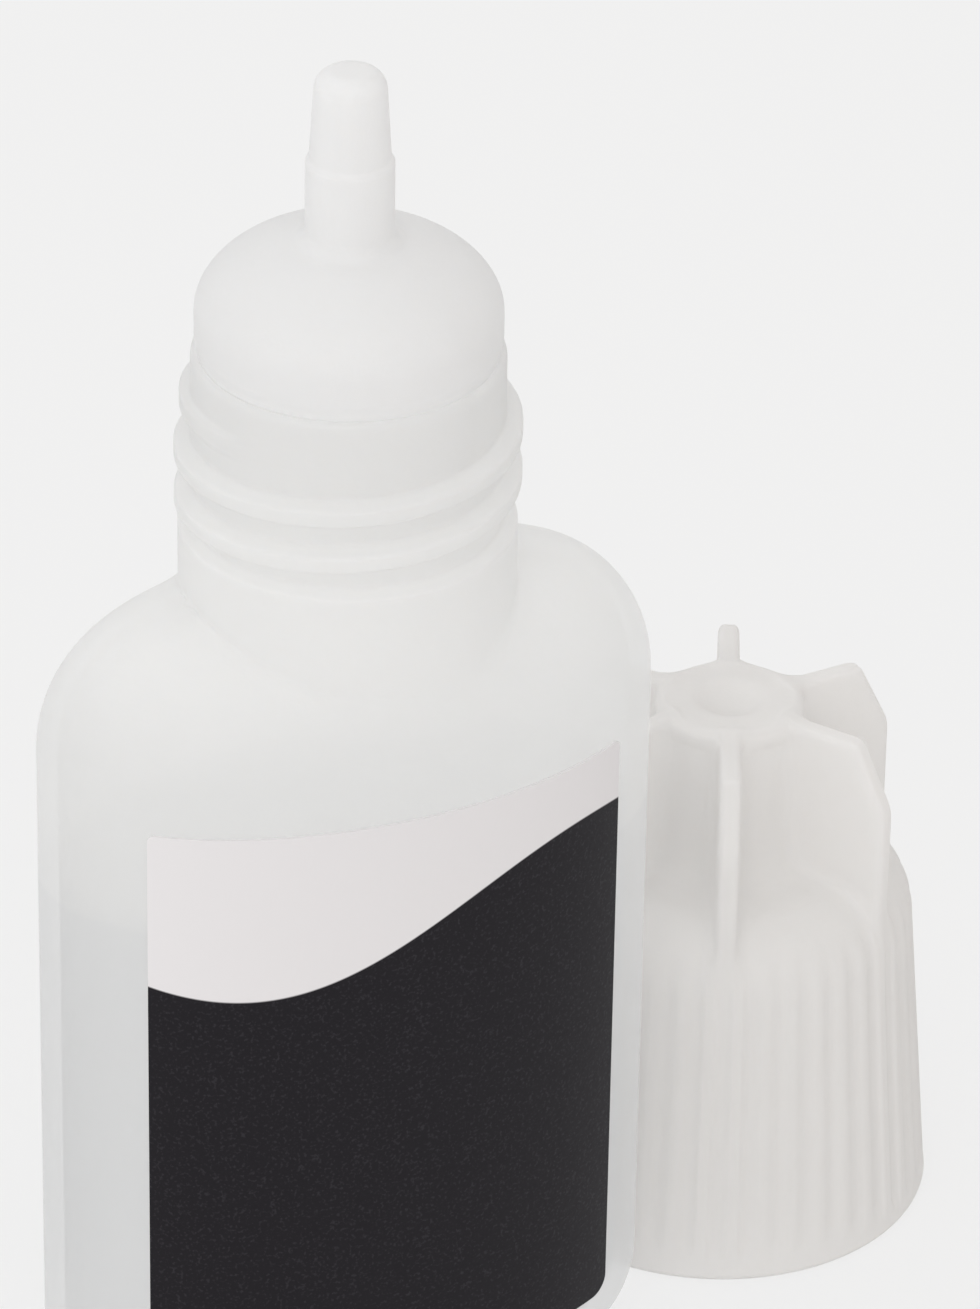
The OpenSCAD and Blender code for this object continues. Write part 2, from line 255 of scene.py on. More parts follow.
class Graph:
    """The node tree of one material or of the world."""

    def __init__(self, tree: bpy.types.NodeTree) -> None:
        """Takes over a node tree and empties it."""
        self.tree = tree
        tree.nodes.clear()

    def node(self, kind: str, settings: dict[str, Any] | None = None,
             inputs: dict[str | int, Any] | None = None) -> bpy.types.Node:
        """Adds one node.

        Args:
            kind: Blender's name of the node's type.
            settings: Properties of the node, set before its sockets.
            inputs: What goes into its sockets: a constant, a socket or a Value.

        Returns:
            The new node.
        """
        made = self.tree.nodes.new(kind)
        for key, setting in (settings or {}).items():
            setattr(made, key, setting)
        for key, value in (inputs or {}).items():
            self.feed(made.inputs[key], value)
        return made

    def feed(self, socket: bpy.types.NodeSocket, value: Any) -> None:
        """Links a socket to another one, or sets it to a constant.

        Args:
            socket: The input to feed.
            value: A constant, a socket or a Value.
        """
        source = value.socket if isinstance(value, Value) else value
        if isinstance(source, bpy.types.NodeSocket):
            self.tree.links.new(source, socket)
        else:
            socket.default_value = source

    def math(self, operation: str, a: "Value | float", b: "Value | float" = 0.0) -> Value:
        """A Math node of two numbers."""
        made = self.node("ShaderNodeMath", {"operation": operation}, {0: a, 1: b})
        return Value(self, made.outputs[0])

    def parts(self, vector: bpy.types.NodeSocket) -> tuple[Value, Value, Value]:
        """X, Y and Z of a vector socket."""
        split = self.node("ShaderNodeSeparateXYZ", None, {0: vector})
        return tuple(Value(self, split.outputs[i]) for i in range(3))

    def coordinates(self, kind: str) -> bpy.types.NodeSocket:
        """Texture coordinates of a kind, as a vector socket."""
        return self.node("ShaderNodeTexCoord").outputs[kind]

    def noise(self, point: bpy.types.NodeSocket, size_mm: float, detail: float = 2.0) -> Value:
        """Noise from 0 to 1.

        Args:
            point: Where on the piece, as a vector socket.
            size_mm: About how far the blotches are across.
            detail: Number of finer layers.

        Returns:
            The noise.
        """
        made = self.node("ShaderNodeTexNoise", {"noise_dimensions": "3D"},
                         {"Vector": point, "Scale": 1 / (size_mm * MM), "Detail": detail})
        return Value(self, made.outputs["Fac"])

    def rise(self, value: Value, low: float, high: float) -> Value:
        """A smooth step.

        Args:
            value: What the step follows.
            low: Value at which the step is still 0.
            high: Value from which it is 1.

        Returns:
            The step, from 0 to 1.
        """
        made = self.node("ShaderNodeMapRange", {"interpolation_type": "SMOOTHSTEP"},
                         {"Value": value, "From Min": low, "From Max": high})
        return Value(self, made.outputs["Result"])

    def mix(self, factor: Value, a: Any, b: Any) -> bpy.types.NodeSocket:
        """Mixes two colours.

        Args:
            factor: Share of the second colour.
            a: First colour, as a constant or a socket.
            b: Second colour, likewise.

        Returns:
            The mixed colour's socket.
        """
        first, second = (c if isinstance(c, bpy.types.NodeSocket) else (*c, 1.0) for c in (a, b))
        made = self.node("ShaderNodeMix", {"data_type": "RGBA"}, {0: factor, 6: first, 7: second})
        return made.outputs[2]

    def bump(self, height: Value, depth_mm: float) -> bpy.types.NodeSocket:
        """Normals of a surface that rises by a depth where the height goes from 0 to 1."""
        made = self.node("ShaderNodeBump", None, {"Height": height, "Distance": depth_mm * MM})
        return made.outputs["Normal"]

    def lit_through(self, colour: Colour, normal: bpy.types.NodeSocket) -> bpy.types.NodeSocket:
        """A shader that shows the light from behind, scattered and tinted."""
        made = self.node("ShaderNodeBsdfTranslucent", None, {"Color": (*colour, 1.0), "Normal": normal})
        return made.outputs[0]

    def blend(self, factor: Value | float, a: bpy.types.NodeSocket,
              b: bpy.types.NodeSocket) -> bpy.types.NodeSocket:
        """Shader a where the factor is 0 and shader b where it is 1."""
        return self.node("ShaderNodeMixShader", None, {0: factor, 1: a, 2: b}).outputs[0]

    def finish_surface(self, shader: bpy.types.NodeSocket, output: str) -> None:
        """Connects a shader to the tree's output."""
        self.node(output, None, {"Surface": shader})


# Finishes

@dataclass(frozen=True)
class Finish:
    """What a surface is made of. Each kind of finish lays out its own nodes."""

    name: str

    def material(self) -> bpy.types.Material:
        """Makes the material of this finish.

        Returns:
            The new material.
        """
        made = bpy.data.materials.new(self.name)
        made.use_nodes = True
        graph = Graph(made.node_tree)
        graph.finish_surface(self.shader(graph), "ShaderNodeOutputMaterial")
        return made

    def shader(self, graph: Graph) -> bpy.types.NodeSocket:
        """Lays out the finish's nodes in a graph and returns its shader socket."""
        raise NotImplementedError


@dataclass(frozen=True)
class MouldedPlastic(Finish):
    """White moulded plastic that light enters, with flow clouds and a fine satin grain.

    through is the share of its light that comes from behind the wall, and opacity what the rest stops.
    """

    colour: Colour
    cloud_colour: Colour
    subsurface: float
    light_depth_mm: float
    through: float
    opacity: float = 1.0
    roughness: float = 0.42
    grain_sheen: float = 0.1
    cloud_sheen: float = 0.06
    cloud_mm: float = 9.0
    cloud_range: tuple[float, float] = (0.35, 0.7)
    grain_mm: float = 0.35
    grain_depth_mm: float = 0.012
    wave_depth_mm: float = 0.05
    light_spread: Colour = (1.0, 0.95, 0.88)
    ior: float = 1.5
    specular: float = 0.35

    def shader(self, graph: Graph) -> bpy.types.NodeSocket:
        """Lays out the plastic: clouds in the colour, satin roughness and a grain over slow waves.

        Args:
            graph: Node tree of the material.

        Returns:
            The shader's socket.
        """
        point = graph.coordinates("Object")
        up = graph.parts(point)[2]
        clouds = graph.rise(graph.noise(point, self.cloud_mm, 3.0), *self.cloud_range)
        grain = graph.noise(point, self.grain_mm, 2.0)
        waves = graph.noise(point, self.cloud_mm / 2, 1.0)
        height_mm = grain * self.grain_depth_mm + waves * self.wave_depth_mm
        normal = graph.bump(height_mm, 1.0)
        uneven = self.grain_sheen * (grain - 0.5) + self.cloud_sheen * (clouds - 0.5)
        plastic = graph.node("ShaderNodeBsdfPrincipled", {"subsurface_method": "RANDOM_WALK"}, {
            "Base Color": self.tone(graph, clouds, up),
            "Roughness": self.roughness + uneven,
            "Normal": normal,
            "Alpha": self.alpha(graph, up),
            "Subsurface Weight": self.subsurface,
            "Subsurface Radius": self.light_spread,
            "Subsurface Scale": self.light_depth_mm * MM,
            "IOR": self.ior,
            "Specular IOR Level": self.specular,
        })
        return graph.blend(self.through, plastic.outputs[0], self.passed(graph, up, normal))

    def tone(self, graph: Graph, clouds: Value, up: Value) -> bpy.types.NodeSocket:
        """Colour of the plastic with its flow clouds."""
        return graph.mix(clouds, self.colour, self.cloud_colour)

    def passed(self, graph: Graph, up: Value, normal: bpy.types.NodeSocket) -> bpy.types.NodeSocket:
        """Shader of the light that comes through the wall."""
        return graph.lit_through(self.colour, normal)

    def alpha(self, graph: Graph, up: Value) -> Value | float:
        """Share of the light that the wall stops, the same everywhere."""
        return self.opacity


@dataclass(frozen=True)
class MilkyBottle(MouldedPlastic):
    """Milky plastic of a blown bottle: thicker towards the neck, darker where the glue wets it."""

    level: float = 0.0
    wet_colour: Colour = (0.957, 0.96, 0.962)
    wet_edge: float = 0.25
    neck_opacity: float = 0.77
    thin_z: float = 34.0
    thick_z: float = 42.0

    def tone(self, graph: Graph, clouds: Value, up: Value) -> bpy.types.NodeSocket:
        """Colour of the plastic, with a darker cast below the glue's level."""
        return graph.mix(self.dry(graph, up), self.wet_colour, super().tone(graph, clouds, up))

    def passed(self, graph: Graph, up: Value, normal: bpy.types.NodeSocket) -> bpy.types.NodeSocket:
        """Shader of the light that comes through the wall, with the same cast below the level."""
        wet = graph.lit_through(self.wet_colour, normal)
        return graph.blend(self.dry(graph, up), wet, super().passed(graph, up, normal))

    def dry(self, graph: Graph, up: Value) -> Value:
        """1 above the glue's level and 0 below it."""
        return graph.rise(up, (self.level - self.wet_edge) * MM, (self.level + self.wet_edge) * MM)

    def alpha(self, graph: Graph, up: Value) -> Value | float:
        """Share of the light that the wall stops, rising towards the neck."""
        thick = graph.rise(up, self.thin_z * MM, self.thick_z * MM)
        return self.opacity + (self.neck_opacity - self.opacity) * thick


@dataclass(frozen=True)
class ClearGlue(Finish):
    """Thin clear glue with a faint cool cast, and a painted highlight: a paler colour on its free
    surface.
    """

    level: float
    colour: Colour = (0.58, 0.59, 0.59)
    streak_colour: Colour = (0.62, 0.63, 0.63)
    # painted highlight: the free surface is coloured paler to stand in for the light that it catches
    # and reflects
    free_surface_highlight_colour: Colour = (0.90, 0.90, 0.90)
    opacity: float = 0.07
    surface_opacity: float = 0.05
    surface_mm: float = 0.5
    streak_mm: float = 7.0
    roughness: float = 0.3
    streak_sheen: float = 0.1
    ior: float = 1.45
    specular: float = 0.2

    def shader(self, graph: Graph) -> bpy.types.NodeSocket:
        """Lays out the liquid: slow streaks in its cast and a clearer free surface, painted paler as a
        highlight.

        Args:
            graph: Node tree of the material.

        Returns:
            The shader's socket.
        """
        point = graph.coordinates("Object")
        up = graph.parts(point)[2]
        streaks = graph.noise(point, self.streak_mm, 1.0)
        free = graph.rise(up, (self.level - self.surface_mm) * MM, self.level * MM)
        deep = graph.mix(streaks, self.colour, self.streak_colour)
        return graph.node("ShaderNodeBsdfPrincipled", None, {
            # the free surface takes the paler painted-highlight colour
            "Base Color": graph.mix(free, deep, self.free_surface_highlight_colour),
            "Roughness": self.roughness + self.streak_sheen * streaks,
            "Alpha": self.opacity + (self.surface_opacity - self.opacity) * free,
            "IOR": self.ior,
            "Specular IOR Level": self.specular,
        }).outputs[0]


@dataclass(frozen=True)
class PrintedLabel(Finish):
    """Coated label stock: pale above and black below one waved edge in front, bare paper behind."""

    paper: Colour = (0.80, 0.79, 0.79)
    pale: Colour = (0.785, 0.768, 0.778)
    black: Colour = (0.0080, 0.0065, 0.0095)
    fleck: Colour = (0.022, 0.020, 0.025)
    edge_z: float = 27.52
    edge_rise: float = 2.62
    edge_length: float = 32.5
    edge_shift: float = 0.73
    edge_soft: float = 0.05
    fibre_mm: float = 0.25
    fibre_depth_mm: float = 0.006
    fibre_sheen: float = 0.12
    fleck_mm: float = 0.14
    fleck_range: tuple[float, float] = (0.52, 0.72)
    back_range: tuple[float, float] = (0.2, 0.4)
    roughness: float = 0.5
    pale_sheen: float = 0.06
    ior: float = 1.45
    specular: float = 0.22

    def shader(self, graph: Graph) -> bpy.types.NodeSocket:
        """Lays out the print: the waved edge between the two inks, flecks in the black and fibres.

        Args:
            graph: Node tree of the material.

        Returns:
            The shader's socket.
        """
        point = graph.coordinates("Object")
        across, _, up = graph.parts(point)
        backward = graph.parts(graph.coordinates("Normal"))[1]
        behind = graph.rise(backward, *self.back_range)
        turns = (across - self.edge_shift * MM) * (TURN / (self.edge_length * MM))
        wave = graph.math("SINE", turns)
        above = up - (self.edge_z * MM + self.edge_rise * MM * wave)
        pale = graph.rise(above, -self.edge_soft * MM, self.edge_soft * MM)
        fibres = graph.noise(point, self.fibre_mm, 3.0)
        flecks = graph.rise(graph.noise(point, self.fleck_mm, 2.0), *self.fleck_range)
        ink = graph.mix(flecks, self.black, self.fleck)
        return graph.node("ShaderNodeBsdfPrincipled", None, {
            "Base Color": graph.mix(behind, graph.mix(pale, ink, self.pale), self.paper),
            "Roughness": self.roughness + self.fibre_sheen * (fibres - 0.5) - self.pale_sheen * pale,
            "Normal": graph.bump(fibres, self.fibre_depth_mm),
            "IOR": self.ior,
            "Specular IOR Level": self.specular,
        }).outputs[0]


@dataclass(frozen=True)
class StudioFloor(Finish):
    """Plain pale floor that keeps part of the object's shadow."""

    colour: Colour = (0.888, 0.888, 0.888)
    lift: float = 0.8

    def shader(self, graph: Graph) -> bpy.types.NodeSocket:
        """Lays out a matt floor whose seen tone is lifted towards its own colour.

        Args:
            graph: Node tree of the material.

        Returns:
            The shader's socket.
        """
        colour = (*self.colour, 1.0)
        matt = graph.node("ShaderNodeBsdfDiffuse", None, {"Color": colour})
        glow = graph.node("ShaderNodeEmission", None, {"Color": colour, "Strength": 1.0})
        return graph.blend(seen_ray(graph) * self.lift, matt.outputs[0], glow.outputs[0])


def seen_ray(graph: Graph) -> Value:
    """Tells the rays that show the surroundings from those that light the object.

    Args:
        graph: Node tree of the floor or the world.

    Returns:
        1 for rays that the camera sees directly, in a reflection or through glass, and otherwise 0.
    """
    path = graph.node("ShaderNodeLightPath")
    camera, glossy, through = (Value(graph, path.outputs[name]) for name in
                               ("Is Camera Ray", "Is Glossy Ray", "Is Transmission Ray"))
    return graph.math("MINIMUM", camera + glossy + through, 1.0)


# The bottle

@dataclass(frozen=True)
class Thread:
    """A helical ridge on a round wall, with ends that fade out."""

    start_z: float
    start_angle: float
    turns: float
    height: float = 0.7
    pitch: float = 2.15
    root: float = 1.35
    crest: float = 0.54
    fade: float = 0.12

    def ridge(self, theta: Array, z: Array) -> Array:
        """Height of the ridge over its wall.

        Args:
            theta: Directions in radians.
            z: Heights of the points.

        Returns:
            Height of the ridge at each point, 0 beside it.
        """
        found = np.zeros(np.broadcast(theta, z).shape)
        first = np.mod(theta - math.radians(self.start_angle), TURN) / TURN
        for lap in range(math.ceil(self.turns)):
            share = (first + lap) / self.turns
            end = smooth_step(np.minimum(share, 1 - share) / self.fade)
            off = np.abs(z - self.start_z - self.pitch * (first + lap))
            flank = smooth_step((self.root / 2 - off) / (self.root / 2 - self.crest / 2))
            found = np.maximum(found, self.height * end * flank)
        return found


@dataclass
class BottleBody:
    """Blow-moulded oval body with a rounded base and shoulder, a collar and a threaded neck."""

    width: float
    depth: float
    neck_top: float
    base_round: float = 4.2
    base_hollow: float = 0.35
    hollow_start: float = 0.55
    hollow_bend: float = 0.35
    shoulder_round: float = 6.6
    wall: float = 0.9
    floor: float = 1.1
    floor_middle: float = 0.1
    floor_edge: float = 0.95
    neck_height: float = 10.7
    neck_radius: float = 6.5
    lip_height: float = 0.4
    lip_inset: float = 0.25
    lip_start: float = 15.0
    bore_radius: float = 5.3
    collar_radius: float = 7.05
    collar_height: float = 2.9
    collar_edge: float = 0.22
    collar_crowding: float = 1.5
    thread_lead: float = 0.45
    thread_start: float = 60.0
    thread_turns: float = 2.45
    side_blend: float = 0.8
    front_blend: float = 1.4
    least_blend: float = 0.02
    blend_rise: float = 2.0
    least_half: float = 0.05
    columns: int = 288
    base_steps: int = 14
    wall_steps: int = 16
    shoulder_steps: int = 30
    collar_steps: int = 16
    neck_steps: int = 130
    lip_steps: int = 6
    bore_steps: int = 8
    inner_shoulder_steps: int = 20
    floor_rows: int = 12
    halvings: int = 40

    @classmethod
    def from_frame(cls) -> "BottleBody":
        """Takes the body's overall sizes from its solid."""
        low, high = (np.array(corner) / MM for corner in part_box("bottle_body"))
        return cls(width=high[0] - low[0], depth=high[1] - low[1], neck_top=high[2])

    def __post_init__(self) -> None:
        """Works out the heights that follow from the sizes."""
        self.shoulder_top = self.neck_top - self.neck_height
        self.wall_top = self.shoulder_top - self.shoulder_round
        self.collar_top = self.shoulder_top + self.collar_height
        self.theta = np.arange(self.columns) * TURN / self.columns
        thread_z = self.collar_top + self.thread_lead
        self.thread = Thread(thread_z, self.thread_start, self.thread_turns)

    def oval(self, theta: Array, inset: Array | float) -> Array:
        """Distance from the axis of an oval that lies inside the straight wall.

        Args:
            theta: Directions in radians.
            inset: Distance of the oval from the wall.

        Returns:
            One distance for each direction and inset.
        """
        half_w = np.maximum(self.width / 2 - inset, self.least_half)
        half_d = np.maximum(self.depth / 2 - inset, self.least_half)
        return half_w * half_d / np.hypot(half_d * np.cos(theta), half_w * np.sin(theta))

    def shoulder_inset(self, rise: Array, inside: float) -> Array:
        """Inset of the shoulder, for a skin that lies inside the outer one.

        Args:
            rise: Heights above the straight wall.
            inside: Distance of the skin from the outer one.

        Returns:
            Distance from the straight wall at each height.
        """
        r = self.shoulder_round - inside
        bend = r - np.sqrt(r * r - np.minimum(rise, r) ** 2)
        return inside + bend + np.maximum(rise - r, 0)

    def meeting_rise(self, radius: float, inside: float) -> Array:
        """Rise above the wall at which the shoulder has drawn in to a radius.

        Args:
            radius: Distance from the axis.
            inside: Distance of the skin from the outer one.

        Returns:
            One rise for each column.
        """
        low = np.zeros(self.columns)
        high = np.full(self.columns, 2 * self.shoulder_round)
        for _ in range(self.halvings):
            middle = (low + high) / 2
            outside = self.oval(self.theta, self.shoulder_inset(middle, inside)) > radius
            low = np.where(outside, middle, low)
            high = np.where(outside, high, middle)
        return high

    def neck_wall(self, z: Array) -> Array:
        """Radius of the neck with its collar and thread.

        Args:
            z: Heights of the points, column by column.

        Returns:
            One radius for each point.
        """
        step = smooth_step((z - self.collar_top + self.collar_edge) / (2 * self.collar_edge))
        plain = self.collar_radius + (self.neck_radius - self.collar_radius) * step
        return np.maximum(plain, self.neck_radius + self.thread.ridge(self.theta, z))

    def outside_above_wall(self) -> tuple[Array, Array]:
        """Rings of the shoulder, the collar and the neck.

        Returns:
            Radius and height of each ring, from the straight wall up to the lip.
        """
        meeting = self.meeting_rise(self.collar_radius, 0.0)
        quarter = np.linspace(0, math.pi / 2, self.shoulder_steps + 1)
        shoulder = meeting * np.sin(quarter)[1:, None]
        collar_end = self.collar_top - 2 * self.collar_edge - self.wall_top
        crowded = np.linspace(0, 1, self.collar_steps + 1) ** self.collar_crowding
        collar = meeting + (collar_end - meeting) * crowded[1:, None]
        neck_end = self.neck_top - self.lip_height - self.wall_top
        neck = np.linspace(collar_end, neck_end, self.neck_steps + 1)[1:, None]
        rise = np.vstack([shoulder, collar, np.repeat(neck, self.columns, axis=1)])
        blend = self.side_blend + (self.front_blend - self.side_blend) * np.sin(self.theta) ** 2
        blend = self.least_blend + blend * smooth_step(rise / self.blend_rise)
        skin = self.oval(self.theta, self.shoulder_inset(rise, 0.0))
        return smooth_max(skin, self.neck_wall(self.wall_top + rise), blend), self.wall_top + rise

    def inside_above_wall(self) -> tuple[Array, Array]:
        """Rings of the bore and the inner shoulder.

        Returns:
            Radius and height of each ring, from the lip down to the straight wall.
        """
        meeting = self.meeting_rise(self.bore_radius, self.wall)
        bore_end = self.neck_top - self.wall_top
        bore = meeting + (bore_end - meeting) * np.linspace(1, 0, self.bore_steps + 1)[:, None]
        quarter = np.linspace(math.pi / 2, 0, self.inner_shoulder_steps + 1)
        rise = np.vstack([bore, meeting * np.sin(quarter)[1:, None]])
        skin = self.oval(self.theta, self.shoulder_inset(rise, self.wall))
        return smooth_max(skin, self.bore_radius, self.side_blend), self.wall_top + rise

    def low_rings(self, inside: float, floor_z: float) -> tuple[Array, Array]:
        """Rings of the base rounding and the straight wall of a skin inside the outer one.

        Args:
            inside: Distance of the skin from the outer one.
            floor_z: Height of its lowest point.

        Returns:
            Radius and height of each ring, from the floor up to the top of the straight wall.
        """
        a = np.radians(np.linspace(0, 90, self.base_steps + 1))
        bend = inside + (self.base_round - inside) * (1 - np.sin(a))
        bend_z = floor_z + (self.base_round - floor_z) * (1 - np.cos(a))
        wall_z = np.linspace(self.base_round, self.wall_top, self.wall_steps + 1)[1:]
        inset = np.append(bend, np.full(self.wall_steps, inside))
        z = np.append(bend_z, wall_z)
        return self.oval(self.theta, inset[:, None]), np.repeat(z[:, None], self.columns, axis=1)

    def floor_rings(self, outline: Array, z: float, hollow: float) -> tuple[Array, Array]:
        """Rings of a floor that is hollowed towards its middle.

        Args:
            outline: Distance of the floor's outline from the axis, for each column.
            z: Height of the floor at its outline.
            hollow: How far its middle lies above that.

        Returns:
            Radius and height of each ring, from the middle out.
        """
        share = np.linspace(self.floor_middle, self.floor_edge, self.floor_rows)[:, None]
        lift = hollow * (1 - smooth_step((share - self.hollow_start) / self.hollow_bend))
        return share * outline, np.repeat(z + lift, self.columns, axis=1)

    def build(self, finish: Finish) -> bpy.types.Object:
        """Makes the body as one closed shell and dresses it.

        Args:
            finish: Plastic of the body.

        Returns:
            The body's object.
        """
        low, low_z = self.low_rings(0.0, 0.0)
        inner, inner_z = self.low_rings(self.wall, self.floor)
        lip_centre = (self.neck_radius - self.lip_inset, 0.0)
        lip = arc(lip_centre, self.lip_inset, self.lip_start, 90, self.lip_steps)
        lip[:, 1] = self.neck_top + self.lip_height * (lip[:, 1] / self.lip_inset - 1)
        rows = [
            self.floor_rings(low[0], 0.0, self.base_hollow),
            (low, low_z),
            self.outside_above_wall(),
            spread(lip, self.columns),
            self.inside_above_wall(),
            (inner[::-1][1:], inner_z[::-1][1:]),
            tuple(part[::-1] for part in self.floor_rings(inner[0], self.floor, 0.0)),
        ]
        radius = np.vstack([row[0] for row in rows])
        height = np.vstack([row[1] for row in rows])
        rings = polar_rings(self.theta, radius, height)
        piece = ring_skin("bottle_shell", rings, (self.base_hollow, self.floor))
        dress(piece, finish, Body.BOTTLE, "bottle_body")
        return piece


@dataclass
class GlueFill:
    """The glue inside the body, with a small meniscus where it climbs the wall."""

    bottle: BottleBody
    level: float
    gap: float = 0.05
    meniscus: float = 0.45
    meniscus_width: float = 0.6
    edge_width: float = 3.0
    edge_rows: int = 14
    middle: float = 0.06
    middle_rows: int = 12

    @classmethod
    def from_frame(cls, bottle: BottleBody) -> "GlueFill":
        """Takes the glue's level from its solid."""
        return cls(bottle=bottle, level=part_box("glue_fill")[1].z / MM)

    def build(self, finish: Finish) -> bpy.types.Object:
        """Makes the glue as a closed body and dresses it.

        Args:
            finish: Look of the liquid.

        Returns:
            The glue's object.
        """
        bottle = self.bottle
        floor_z = bottle.floor + self.gap
        low, low_z = bottle.low_rings(bottle.wall + self.gap, floor_z)
        below = low_z[:, 0] < self.level
        reach = low[-1]
        away = np.linspace(0, self.edge_width, self.edge_rows)[:, None] ** 2 / self.edge_width
        share = np.linspace(1, self.middle, self.middle_rows)[1:, None]
        top = np.vstack([reach - away, share * (reach - away[-1])])
        climb = self.meniscus * np.exp((top - reach) / self.meniscus_width)
        floor, floor_height = bottle.floor_rings(low[0], floor_z, 0.0)
        radius = np.vstack([floor, low[below], top])
        height = np.vstack([floor_height, low_z[below], self.level + climb])
        rings = polar_rings(bottle.theta, radius, height)
        piece = ring_skin("glue_liquid", rings, (floor_z, self.level))
        dress(piece, finish, Body.BOTTLE, "glue_fill")
        return piece


@dataclass
class NozzlePlug:
    """Plug pressed into the neck: a domed rim and a tapered nozzle with a closed tip."""

    neck_top: float
    tip_z: float
    rim_radius: float
    insert_foot: float
    bore_radius: float
    bore_gap: float = 0.05
    bevel_height: float = 0.3
    bevel_inset: float = 0.2
    shell: float = 1.1
    seat_gap: float = 0.005
    groove_radius: float = 6.22
    groove_height: float = 0.15
    groove_bend: float = 0.6
    rim_height: float = 1.55
    dome_height: float = 3.5
    nozzle_radius: float = 1.83
    nozzle_base: float = 3.7
    nozzle_fillet: float = 0.6
    step_radius: float = 1.68
    step_height: float = 0.35
    tip_radius: float = 1.5
    tip_round: float = 0.85
    tip_arc_end: float = 3.0
    tip_flat: float = 0.3
    tip_wall: float = 0.9
    channel_radius: float = 0.65
    channel_end: float = 3.0
    columns: int = 160
    tip_steps: int = 12
    side_steps: int = 10
    step_steps: int = 8
    fillet_steps: int = 9
    dome_steps: int = 24
    rim_steps: int = 9
    hollow_steps: int = 12
    insert_steps: int = 3

    @classmethod
    def from_frame(cls, bottle: BottleBody) -> "NozzlePlug":
        """Takes the plug's overall sizes from its solid and its seat from the bottle.

        Args:
            bottle: Body whose neck holds the plug.

        Returns:
            The plug.
        """
        low, high = (np.array(corner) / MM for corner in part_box("nozzle_plug"))
        return cls(neck_top=bottle.neck_top, tip_z=high[2], rim_radius=(high[0] - low[0]) / 2,
                   insert_foot=low[2], bore_radius=bottle.bore_radius)

    @property
    def rim_foot(self) -> float:
        """Height of the rim's lower edge."""
        return self.neck_top + self.groove_height

    @property
    def dome_foot(self) -> float:
        """Height at which the dome starts."""
        return self.rim_foot + self.rim_height

    def dome(self, radius: Array) -> Array:
        """Height of the dome at a distance from the axis."""
        return self.dome_foot + self.dome_height * np.sqrt(1 - (radius / self.rim_radius) ** 2)

    def nozzle_outline(self) -> Array:
        """Outline of the nozzle.

        Returns:
            Rows of (radius, height), from the tip down to the foot of the fillet on the dome.
        """
        step_z = self.dome_foot + self.dome_height + self.nozzle_base
        tip_foot = self.tip_z - self.tip_round
        tip_centre = (self.tip_radius - self.tip_round, tip_foot)
        tip = arc(tip_centre, self.tip_round, 90, self.tip_arc_end, self.tip_steps)
        upper = line((self.tip_radius, tip_foot), (self.step_radius, step_z), self.side_steps)
        share = np.linspace(0, 1, self.step_steps + 1)[1:]
        widening = (self.nozzle_radius - self.step_radius) * smooth_step(share)
        step = np.stack([self.step_radius + widening, step_z - self.step_height * share], axis=1)
        quarter = np.radians(np.linspace(0, 90, self.fillet_steps + 1))
        round_r = self.nozzle_fillet
        out = round_r * (1 - np.cos(quarter))
        lift = round_r - np.sqrt(round_r ** 2 - (round_r - out) ** 2)
        fillet_r = self.nozzle_radius + out
        fillet = np.stack([fillet_r, self.dome(fillet_r) + lift], axis=1)
        lower = line(tuple(step[-1]), tuple(fillet[0]), self.side_steps)[1:-1]
        flat = [[0, self.tip_z], [self.tip_flat, self.tip_z]]
        return np.vstack([flat, tip, upper, step, lower, fillet])

    def rim_outline(self) -> Array:
        """Outline of the dome, the rim with its groove, and the insert.

        Returns:
            Rows of (radius, height), from the nozzle's fillet down to the insert's lower end.
        """
        foot = self.nozzle_radius + self.nozzle_fillet
        a = np.linspace(math.acos(foot / self.rim_radius), 0, self.dome_steps + 1)[1:]
        dome_z = self.dome_foot + self.dome_height * np.sin(a)
        share = np.linspace(0, 1, self.rim_steps + 1)
        inset = (self.rim_radius - self.groove_radius) * smooth_step(share)
        rim_z = self.rim_foot + self.groove_bend * (1 - share)
        seat_z = self.neck_top + self.seat_gap
        insert_r = self.bore_radius - self.bore_gap
        bevel = (insert_r, self.insert_foot + self.bevel_height)
        return np.vstack([
            np.stack([self.rim_radius * np.cos(a), dome_z], axis=1),
            np.stack([self.rim_radius - inset, rim_z], axis=1),
            [[self.groove_radius, seat_z]],
            line((insert_r, seat_z), bevel, self.insert_steps),
            [[insert_r - self.bevel_inset, self.insert_foot]]])

    def inside_outline(self) -> Array:
        """Outline of the hollow below the dome and of the nozzle's channel.

        Returns:
            Rows of (radius, height), from the insert's lower end up to the channel's closed end.
        """
        hollow = self.bore_radius - self.bore_gap - self.shell
        a = np.linspace(0, math.acos(self.channel_radius / hollow), self.hollow_steps + 1)
        dome_z = self.dome_foot + (self.dome_height - self.shell) * np.sin(a)
        end = self.tip_z - self.tip_wall
        channel_foot = (self.channel_radius, end - self.channel_end)
        return np.vstack([
            [[hollow, self.insert_foot]],
            np.stack([hollow * np.cos(a), dome_z], axis=1),
            line(channel_foot, (self.channel_radius, end), self.insert_steps),
            [[0, end]]])

    def build(self, finish: Finish) -> bpy.types.Object:
        """Turns the plug as one closed shell and dresses it.

        Args:
            finish: Plastic of the plug.

        Returns:
            The plug's object.
        """
        outline = np.vstack([self.nozzle_outline(), self.rim_outline(), self.inside_outline()])
        piece = turned_skin("nozzle_and_dome", outline, self.columns)
        dress(piece, finish, Body.BOTTLE, "nozzle_plug")
        return piece


